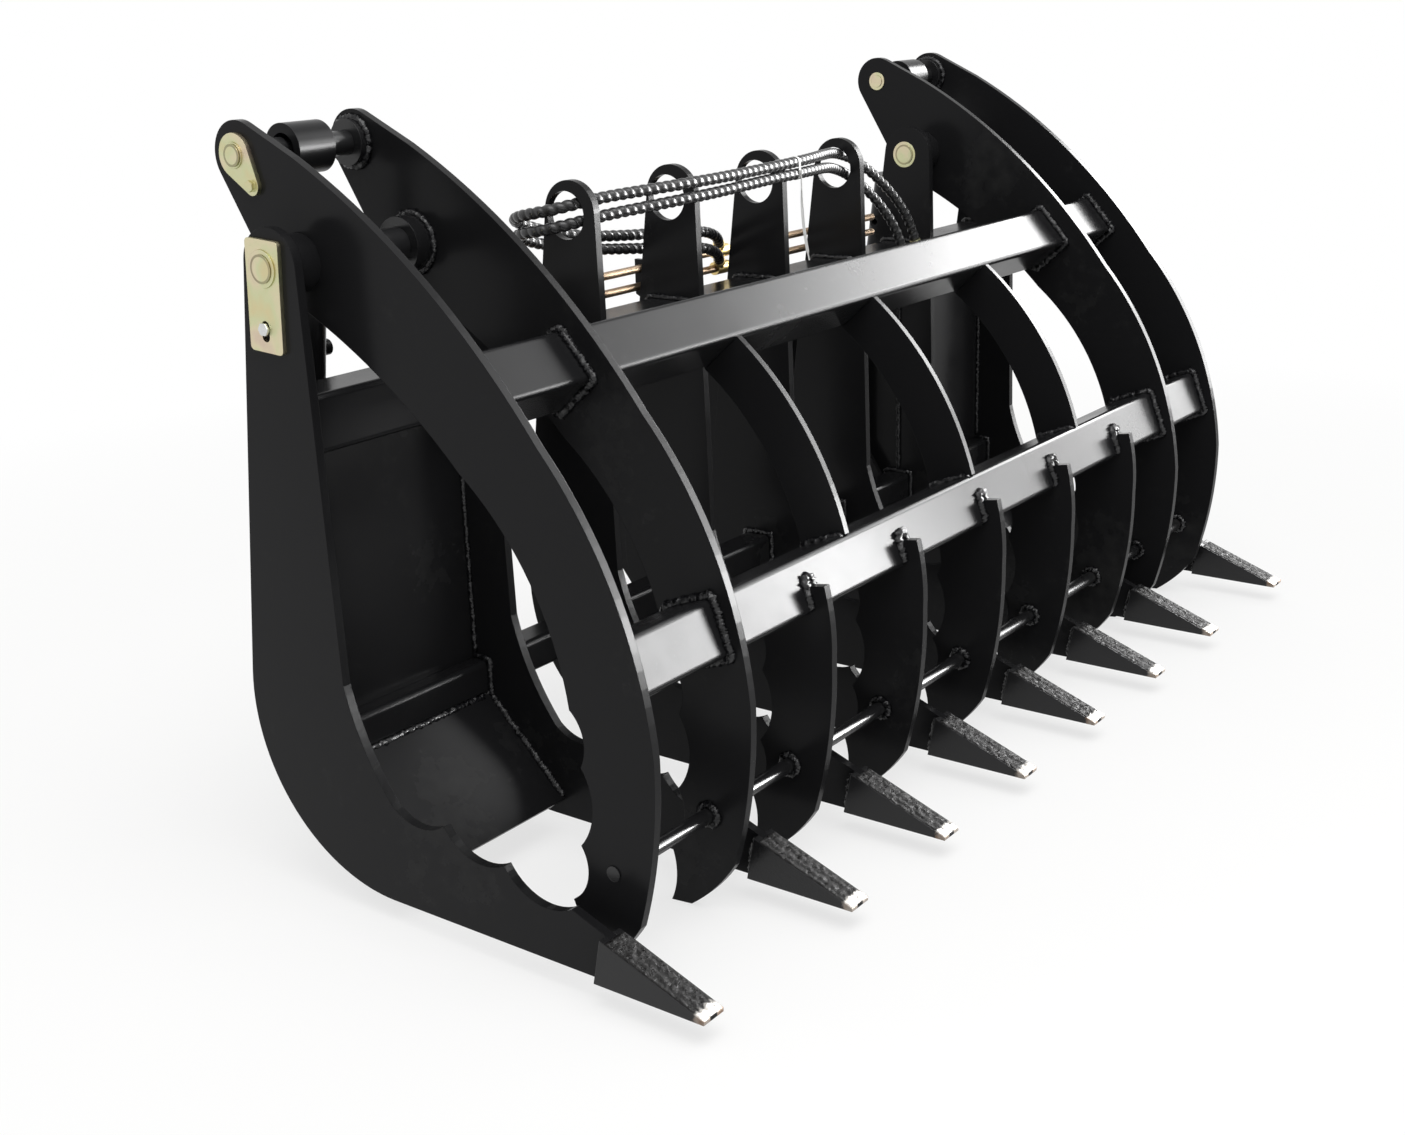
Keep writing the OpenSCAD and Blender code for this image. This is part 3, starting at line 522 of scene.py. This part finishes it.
def makeTie():
    high, along = frontRun("upper")
    low, _ = frontRun("lower")
    up = (high - low).normalized()
    along = (along - up * along.dot(up)).normalized()
    across = up.cross(along)
    turn = Matrix((across, up, along)).transposed().to_euler()
    start = (high + low) / 2 - along * tie["width"] / 2
    bpy.ops.object.select_all(action="DESELECT")
    bpy.ops.mesh.primitive_circle_add(vertices=36, radius=tie["grip"], location=start, rotation=turn)
    band = bpy.context.object
    for vertex in band.data.vertices:
        vertex.co.y += math.copysign((high - low).length / 2, vertex.co.y + 1e-6)
    bpy.ops.object.mode_set(mode="EDIT")
    bpy.ops.mesh.select_all(action="SELECT")
    bpy.ops.mesh.extrude_region_move(TRANSFORM_OT_translate={"value": along * tie["width"]})
    bpy.ops.mesh.select_all(action="SELECT")
    bpy.ops.mesh.normals_make_consistent(inside=False)
    bpy.ops.object.mode_set(mode="OBJECT")
    wall = band.modifiers.new("wall", "SOLIDIFY")
    wall.thickness = tie["thick"]
    wall.offset = 0
    applyAll(band)

    headPlace = low - across * (tie["grip"] + tie["headGap"]) + up * tie["headUp"]
    bpy.ops.mesh.primitive_cube_add(size=1, location=headPlace, rotation=turn, scale=tie["head"])
    head = bpy.context.object
    soft = head.modifiers.new("soft", "BEVEL")
    soft.width = 0.0008
    soft.segments = 2
    applyAll(head)

    line = smoothLine([Vector(p) + underTines for p in tie["tail"]], 0.005)
    line = [headPlace + (place - line[0]) for place in line]
    bpy.ops.object.select_all(action="DESELECT")
    bpy.ops.mesh.primitive_grid_add(x_subdivisions=2, y_subdivisions=len(line) - 1, size=1)
    tail = bpy.context.object
    looking = (line[0] - Vector(shot["place"])).normalized()
    edgeOn = Vector((looking.x, looking.y, 0)).normalized()
    for vertex in tail.data.vertices:
        i = round((0.5 - vertex.co.y) * (len(line) - 1))
        share = min(1, max(0, (i / (len(line) - 1) - 0.18) / 0.25))
        angle = math.radians(tie["twist"][0] + (tie["twist"][1] - tie["twist"][0]) * share)
        wide = Matrix.Rotation(angle, 3, "Z") @ edgeOn
        taper = 1 if i < len(line) - 3 else tie["tipWide"]
        vertex.co = line[i] + wide * vertex.co.x * tie["width"] * taper
    tail.location = (0, 0, 0)
    wall = tail.modifiers.new("wall", "SOLIDIFY")
    wall.thickness = tie["tailThick"]
    wall.offset = 0
    applyAll(tail)
    return finishPiece(joined("cableTie", [band, head, tail]), makeTiePlastic(), "root")


cableTie = makeTie()
for which, piece in hosePieces.items():
    [nodes[f"hose_coupler_{which}"]] + ([cableTie] if which == "lower" else [])
print("cable tie made")


# Rough wear pads welded along the teeth
pad = {
    "width": 0.0366,
    "length": 0.152,
    "thick": 0.0022,
    "lump": 0.0030,
    "plate": 0.0127,  # of the tine and of each plate beside it
    "lift": 0.0008,
    "tipHeight": 0.005,  # of the blunt tip over the tine's bottom
    "slope": 20.4,  # degrees, the tooth's top edge
    "cells": (18, 66),
}


def makePadFinish():
    f = Finish("wearPad", Specular_IOR_Level=0.17)
    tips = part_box("tooth_plates_left")[0].y
    near = 1 - f.ramp(f.along("y"), tips + 0.002, tips + 0.030)
    grain = f.noise(300, 4, 0.7)
    lumps = f.noise(95, 3, 0.6)
    worn = f.ramp(near * 0.9 + lumps * 0.5, 0.72, 0.86)
    f.set("Base Color", f.mix(worn, f.mix(lumps, (0.002, 0.002, 0.002), (0.014, 0.013, 0.013)), (0.55, 0.53, 0.50)))
    f.set("Metallic", worn * 0.8)
    glints = f.ramp(f.noise(210, 2, 0.5), 0.50, 0.62)
    f.set("Roughness", 0.62 - 0.48 * glints)
    f.set("Normal", f.bump(grain, 0.0012, 0.9, f.bump(lumps, 0.003, 0.7)))
    return f.material


def makePad(name, x, seed):
    bpy.ops.object.select_all(action="DESELECT")
    slope = math.radians(pad["slope"])
    tip = Vector((x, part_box("tooth_plates_left")[0].y, lineLow + pad["tipHeight"]))
    centre = tip + Vector((0, math.cos(slope), math.sin(slope))) * (pad["length"] / 2 + pad["lift"])
    bpy.ops.mesh.primitive_grid_add(x_subdivisions=pad["cells"][0], y_subdivisions=pad["cells"][1], size=1,
                                    location=centre, rotation=(slope, 0, 0))
    piece = bpy.context.object
    piece.name = name
    piece.scale = (pad["width"], pad["length"], 1)
    bpy.ops.object.transform_apply(location=False, rotation=False, scale=True)
    for vertex in piece.data.vertices:
        u, v = abs(vertex.co.x) / pad["width"] * 2, abs(vertex.co.y) / pad["length"] * 2
        rim = min(1, (1 - u) * 6) * min(1, (1 - v) * 22)
        spot = Vector((vertex.co.x, vertex.co.y, seed * 0.37))
        rows = 0.5 + 0.5 * math.cos(vertex.co.x / pad["plate"] * 2 * math.pi)  # higher over the seams
        lumpy = noise.noise(spot * 170) * 0.9 + noise.noise(spot * 420) * 0.5
        vertex.co.z = rim * (pad["thick"] * 0.35 + pad["lump"] * (0.35 * (1 - rows) + 0.5 * max(-0.6, lumpy)))
    skirt = piece.modifiers.new("skirt", "SOLIDIFY")
    skirt.thickness = pad["thick"]
    skirt.offset = -1
    applyAll(piece)
    bpy.ops.object.shade_smooth()
    finishPiece(piece, padFinish, "root")


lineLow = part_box("tooth_plates_left")[0].z
padFinish = makePadFinish()
for i, tine in enumerate(["end_tine_left", "lug_tine_left", "tine_1", "tine_2", "tine_3", "tine_4", "lug_tine_right",
                          "end_tine_right"]):
    makePad(f"wearPad{i + 1}", sum(faces(tine)) / 2, i + 1)
print("wear pads made")


# Turned ends on the pins, and the bolts that hold the keepers
turned = {
    "pivot": {"radius": 0.0224, "proud": 0.0017, "hub": 0.0088},
    "rodOut": {"radius": 0.0186, "proud": 0.0026, "hub": 0.0050},
    "rodIn": {"radius": 0.0156, "proud": 0.0017, "hub": 0.0040},
    "rodInAt": 0.6464,  # |X| of the rod pin's inner end
    "pivotGroove": (0.0144, 0.0180),  # inner and outer radius of the painted shade in it
    "rodGroove": (0.0106, 0.0142),
    "rim": 0.0042,
    "groove": 0.0028,
    "grooveDeep": 0.0016,
    "grooveSide": 0.0005,  # how far its walls lean
    "hubProud": 0.0005,
    "boltRadius": 0.0090,
    "boltHigh": 0.0055,
    "shankRadius": 0.0058,
    "shank": 0.020,
    "shankIn": 0.0099,  # from the keeper's face to the middle of the shank
    "boltUp": 0.0030,  # how far above the middle of its slot the bolt is tightened
}


def rodAlongX(vertices, radius, depth, x, centre, out=1):  # out is 1 towards +X
    bpy.ops.object.select_all(action="DESELECT")
    bpy.ops.mesh.primitive_cylinder_add(vertices=vertices, radius=radius, depth=depth,
                                        rotation=(0, out * math.pi / 2, 0), location=(x, centre.y, centre.z))
    return bpy.context.object


def editOuterFace(piece):
    for face in piece.data.polygons:
        face.select = face.normal.z > 0.9
    bpy.ops.object.mode_set(mode="EDIT")


def turnedEnd(x, out, centre, kind):
    size = turned[kind]
    piece = rodAlongX(56, size["radius"], size["proud"], x + out * size["proud"] / 2, centre, out)
    editOuterFace(piece)
    bpy.ops.mesh.inset(thickness=turned["rim"], depth=0)
    bpy.ops.mesh.inset(thickness=turned["grooveSide"], depth=-turned["grooveDeep"])
    bpy.ops.mesh.inset(thickness=turned["groove"], depth=0)
    bpy.ops.mesh.inset(thickness=turned["grooveSide"], depth=turned["grooveDeep"] + turned["hubProud"])
    bpy.ops.mesh.inset(thickness=size["hub"], depth=0)
    bpy.ops.mesh.inset(thickness=0.0012, depth=-0.0009)
    bpy.ops.object.mode_set(mode="OBJECT")
    applyAll(piece)
    bpy.ops.object.shade_smooth_by_angle(angle=math.radians(30))
    return piece


def keeperBolt(side):
    centre = middle("keeper_bolts") + Vector((0, 0, turned["boltUp"]))
    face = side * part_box("pivot_keepers")[1].x
    head = rodAlongX(6, turned["boltRadius"], turned["boltHigh"], face + side * turned["boltHigh"] / 2, centre, side)
    editOuterFace(head)
    bpy.ops.mesh.bevel(offset=0.0018, segments=3, affect="EDGES")
    bpy.ops.object.mode_set(mode="OBJECT")
    applyAll(head)
    shank = rodAlongX(24, turned["shankRadius"], turned["shank"], face - side * turned["shankIn"], centre)
    soft = shank.modifiers.new("soft", "BEVEL")
    soft.width = 0.0006
    applyAll(shank)
    return [head, shank]


def pinEnds():
    ends = {"pivot_pins": [], "rod_pins": []}
    for side in (-1, 1):
        outer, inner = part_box("pivot_pins")[1].x, -faces("lug_tine_left")[1]
        ends["pivot_pins"] += [
            turnedEnd(side * outer, side, middle("pivot_pins"), "pivot"),
            turnedEnd(side * inner, -side, middle("pivot_pins"), "pivot"),
        ]
        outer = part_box("rod_pins")[1].x
        ends["rod_pins"] += [
            turnedEnd(side * outer, side, middle("rod_pins"), "rodOut"),
            turnedEnd(side * turned["rodInAt"], -side, middle("rod_pins"), "rodIn"),
        ]
    pivotZinc = makeZinc("pivotPinZinc", (middle("pivot_pins"), *turned["pivotGroove"]))
    rodZinc = makeZinc("rodPinZinc", (middle("rod_pins"), *turned["rodGroove"]))
    finishPiece(joined("pivotPinEnds", ends["pivot_pins"]), pivotZinc, "root")
    finishPiece(joined("rodPinEnds", ends["rod_pins"]), rodZinc, "clamp")
    bolts = joined("keeperBolts", keeperBolt(-1) + keeperBolt(1))
    finishPiece(bolts, brightZinc, "root")
    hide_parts("keeper_bolts")


pinEnds()
print("pin ends and keeper bolts made")


# Weld beads
bead = {"pitch": 5.0, "step": 2.5, "size": 5.6, "ripple": 0.24, "wander": 0.9}  # millimetres, but for the ripple
beadSize = {  # radius where it isn't the usual one
    "fingerHead": 7.5, "ribFoot": 6.5, "armRing": 7.0, "bushRing": 5.4,
    "tubeRing": 5.5, "cornerEnd": 6.6, "backEnd": 4.6, "heel": 5.0, "cornerFoot": 4.6,
}
seams = {  # y and z of each seam's two ends, metres
    "cornerEnd": [(0.0600, 0.0610), (0.1875, 0.1880)],
    "backEnd": [(0.2145, 0.246), (0.2145, 0.602)],
    "heel": [(-0.2725, 0.0890), (-0.2625, 0.0350)],
}
cornerFoot = (0.1895, 0.1900)  # y and z of the seam on the lower tube
cornerFootShort = 0.012  # at each end
ribs = {"places": (-0.3528, 0.0, 0.3528), "half": 8 * mm}
headSpan = (35, -7)  # of a finger's head over the middle bar's front, from below to above the corner
footSpan = (34, -36)  # of a rib's foot over the bar's upper face
ringOver = 3  # a bead round a square tube is this much larger than the tube
endBayFrom = 0.57  # |X| of the tine faces that the corner and back plates end on
beadSeed = random.Random(11)


def beadSpline(curve, points, size, closed=False):
    points = [Vector(p) for p in points]
    if closed:
        points = points + [points[0]]
    places = []
    for a, b in zip(points, points[1:]):
        steps = max(2, round((b - a).length / (bead["step"] * mm)))
        places += [a.lerp(b, i / steps) for i in range(steps)]
    if not closed:
        places.append(points[-1])
    spline = curve.splines.new("POLY")
    spline.points.add(len(places) - 1)
    spline.use_cyclic_u = closed
    for i, (point, place) in enumerate(zip(spline.points, places)):
        wave = abs(math.sin(math.pi * i * bead["step"] / bead["pitch"]))
        ends = 1 if closed else min(1, 0.45 + 0.25 * min(i, len(places) - 1 - i))
        shift = [beadSeed.uniform(-1, 1) * bead["wander"] * mm for _ in range(3)]
        point.co = (*(place + Vector(shift)), 1)
        rise = bead["ripple"] * 2 * wave * beadSeed.uniform(0.7, 1.2)
        point.radius = size / bead["size"] * ends * (1 - bead["ripple"] + rise)


def makeWelds(name, body, runs):
    curve = bpy.data.curves.new(name, "CURVE")
    curve.dimensions = "3D"
    curve.bevel_depth = bead["size"] * mm
    curve.bevel_resolution = 2
    curve.use_fill_caps = True
    for run in runs:
        beadSpline(curve, run["points"], run.get("size", bead["size"]), run.get("closed", False))
    piece = bpy.data.objects.new(name, curve)
    bpy.context.scene.collection.objects.link(piece)
    bpy.ops.object.select_all(action="DESELECT")
    piece.select_set(True)
    bpy.context.view_layer.objects.active = piece
    bpy.ops.object.convert(target="MESH")
    bpy.ops.object.shade_smooth()
    finishPiece(bpy.context.object, weldPaint, body)


def squareRing(x, centre, size, turn):
    half = size * mm / 2
    c, s = math.cos(math.radians(turn)), math.sin(math.radians(turn))
    ring = []
    for u, v in ((-1, -1), (1, -1), (1, 1), (-1, 1)):
        ring.append(Vector((x, centre.y + (u * c - v * s) * half, centre.z + (u * s + v * c) * half)))
    return ring


def roundRing(x, centre, radius, count=28):
    turns = [2 * math.pi * i / count for i in range(count)]
    return [Vector((x, centre.y + radius * mm * math.cos(t), centre.z + radius * mm * math.sin(t))) for t in turns]


tubes = {
    "clamp_top_bar": {"size": 76, "turn": 48.4},
    "clamp_mid_bar": {"size": 76, "turn": 69.3},
    "top_beam": {"size": 76, "turn": 0},
    "lower_tube": {"size": 50, "turn": 0},
}
armNames = ["arm_outer_left", "arm_inner_left", "arm_inner_right", "arm_outer_right"]
tineNames = ["lug_tine_left", "tine_1", "tine_2", "tine_3", "tine_4", "lug_tine_right"]
offFace = 1.5 * mm  # a bead's middle stands this far off the plate it lies on
bushRadius, bossRadius = 36.0, 30.0  # of the clamp's pivot bushes and its pin bosses
tieRing = 13.0  # radius of the beads round the tie bar


def onBar(bar, x, side, along):  # side 0 is the bar's upper face and 1 its front; along runs on round the bar
    a = math.radians(tubes[bar]["turn"] + 90 * side)
    out, on = (math.cos(a), math.sin(a)), (-math.sin(a), math.cos(a))
    reach = tubes[bar]["size"] / 2 * mm
    centre = middle(bar)
    return Vector((x, centre.y + out[0] * reach + on[0] * along * mm, centre.z + out[1] * reach + on[1] * along * mm))


def clampWelds():
    runs = []
    for i in range(1, 6):
        left, right = faces(f"finger_{i}")
        ends = [left - offFace] * 2 + [right + offFace] * 2
        head = [onBar("clamp_mid_bar", x, 1, along) for x, along in zip(ends, headSpan + headSpan[::-1])]
        runs.append({"points": head, "size": beadSize["fingerHead"]})
    for x in ribs["places"]:
        for side in (-ribs["half"], ribs["half"]):
            foot = [onBar("clamp_mid_bar", x + side, 0, along) for along in footSpan]
            runs.append({"points": foot, "size": beadSize["ribFoot"]})
    for arm in armNames:
        left, right = faces(arm)
        sides = [left - offFace, right + offFace]
        if arm == "arm_outer_left":
            sides = sides[1:]
        if arm == "arm_outer_right":
            sides = sides[:1]
        for x in sides:
            for bar in ("clamp_top_bar", "clamp_mid_bar"):
                ring = squareRing(x, middle(bar), tubes[bar]["size"] + ringOver, tubes[bar]["turn"])
                runs.append({"points": ring, "closed": True, "size": beadSize["armRing"]})
            runs.append({"points": roundRing(x, middle("tie_bar"), tieRing), "closed": True})
        bay = math.copysign(abs(middle("barrel_left").x), left)
        x = min((left, right), key=lambda face: abs(face - bay))
        x += math.copysign(offFace, bay - x)
        for centre, radius in ((pivot, bushRadius + 1.0), (middle("rod_pins"), bossRadius + 1.0)):
            runs.append({"points": roundRing(x, centre, radius), "closed": True, "size": beadSize["bushRing"]})
    for i in range(1, 6):
        for x, side in zip(faces(f"finger_{i}"), (-1, 1)):
            runs.append({"points": roundRing(x + side * offFace, middle("tie_bar"), tieRing), "closed": True})
    makeWelds("clampWelds", "clamp", runs)


def frameWelds():
    runs = []
    for tine in tineNames + ["end_tine_left", "end_tine_right"]:
        left, right = faces(tine)
        sides = [left - offFace, right + offFace]
        if tine == "end_tine_left":
            sides = sides[1:]
        if tine == "end_tine_right":
            sides = sides[:1]
        for x in sides:
            for tube in ("top_beam", "lower_tube"):
                ring = squareRing(x, middle(tube), tubes[tube]["size"] + ringOver, 0)
                runs.append({"points": ring, "closed": True, "size": beadSize["tubeRing"]})
            for seam in ("cornerEnd", "backEnd", "heel") if abs(x) > endBayFrom else ("heel",):
                runs.append({"points": [(x, y, z) for y, z in seams[seam]], "size": beadSize[seam]})
    for side in ("left", "right"):
        left, right = faces(f"corner_plate_{side}")
        foot = [(left + cornerFootShort, *cornerFoot), (right - cornerFootShort, *cornerFoot)]
        runs.append({"points": foot, "size": beadSize["cornerFoot"]})
    makeWelds("frameWelds", "root", runs)


clampWelds()
frameWelds()
print("welds laid")


# Floor and studio
studio = {
    "floor": (0.88, 0.88, 0.87),
    "floorSize": 90,
    "world": 0.72,
    "plainNear": 0.70,  # how far the floor is plain white to the eye beside the object, and wholly so further out
    "plainFrom": 1.5,
    "plainAt": 3.0,
    "softbox": {"place": (-1.0, -1.5, 4.2), "aim": (0, 0, 0.3), "width": 4, "height": 3, "watts": 120},
    "windowAt": 4.0,  # X of the window's panes
}


def seenDirectly(tree):  # 1 for rays that show the background itself, to the eye or in a reflection
    path = tree.nodes.new("ShaderNodeLightPath")
    rays = [Wire(tree, path.outputs[name]) for name in ("Is Camera Ray", "Is Glossy Ray", "Is Transmission Ray")]
    return (rays[0] + rays[1] + rays[2]).clamp()


def makeStage():
    bpy.ops.object.select_all(action="DESELECT")
    bpy.ops.mesh.primitive_plane_add(size=studio["floorSize"], location=(0, 0, 0))
    floor = bpy.context.object
    floor.name = "floor"
    f = Finish("floorPaint", Base_Color=studio["floor"], Roughness=0.9, Specular_IOR_Level=0.0)
    x, y = f.along("x"), f.along("y")
    away = f.ramp((x * x + y * y) ** 0.5, studio["plainFrom"], studio["plainAt"])
    share = (studio["plainNear"] + (1 - studio["plainNear"]) * away) * seenDirectly(f.tree)
    white = f.node("ShaderNodeEmission", Color=(1, 1, 1), Strength=1.0)
    both = f.node("ShaderNodeMixShader", i0=share, i1=Wire(f.tree, f.shader.outputs[0]), i2=white)
    f.tree.links.new(both.socket, f.tree.nodes["Material Output"].inputs["Surface"])
    floor.data.materials.append(f.material)
    world = bpy.data.worlds.new("studioWorld")
    world.use_nodes = True
    back = world.node_tree.nodes["Background"]
    back.inputs["Color"].default_value = (1, 1, 1, 1)
    strength = studio["world"] + (1 - studio["world"]) * seenDirectly(world.node_tree)
    world.node_tree.links.new(strength.socket, back.inputs["Strength"])
    bpy.context.scene.world = world


def makeLight(name, place, aim, width, height, watts, glossOnly=False):
    bpy.ops.object.light_add(type="AREA", location=place)
    lamp = bpy.context.object
    lamp.name = name
    lamp.data.shape = "RECTANGLE"
    lamp.data.size = width
    lamp.data.size_y = height
    lamp.data.energy = watts
    lamp.rotation_euler = (Vector(aim) - Vector(place)).to_track_quat("-Z", "Y").to_euler()
    lamp.visible_diffuse = not glossOnly
    lamp.visible_camera = False
    return lamp


# Panes of a tall window to the right, seen only in the paint's gloss: y and z from and to, and their brightness
panes = {
    "lowFar": (-6.2, -3.2, 0.35, 1.7, 74),
    "lowMid": (-3.2, -2.2, 0.35, 1.7, 10),
    "lowNear": (-2.2, -0.9, 0.35, 1.7, 16),
    "highNear": (-1.9, -0.1, 1.75, 2.75, 37),
    "highMid": (-2.6, -0.3, 2.75, 3.45, 15),
    "highFar": (-3.4, -0.5, 3.45, 5.6, 5),
    "middle": (-5.2, -1.95, 1.75, 3.4, 22),
}


def makeWindow():
    for name, (y0, y1, z0, z1, glow) in panes.items():
        place = Vector((studio["windowAt"], (y0 + y1) / 2, (z0 + z1) / 2))
        watts = glow * (y1 - y0) * (z1 - z0) * math.pi
        makeLight(f"{name}Pane", place, place - Vector((1, 0, 0)), y1 - y0, z1 - z0, watts, glossOnly=True)


makeStage()
makeLight("topSoftbox", **studio["softbox"])
makeWindow()
print("stage and lights set")

view = bpy.context.scene.view_settings
view.view_transform = "Standard"
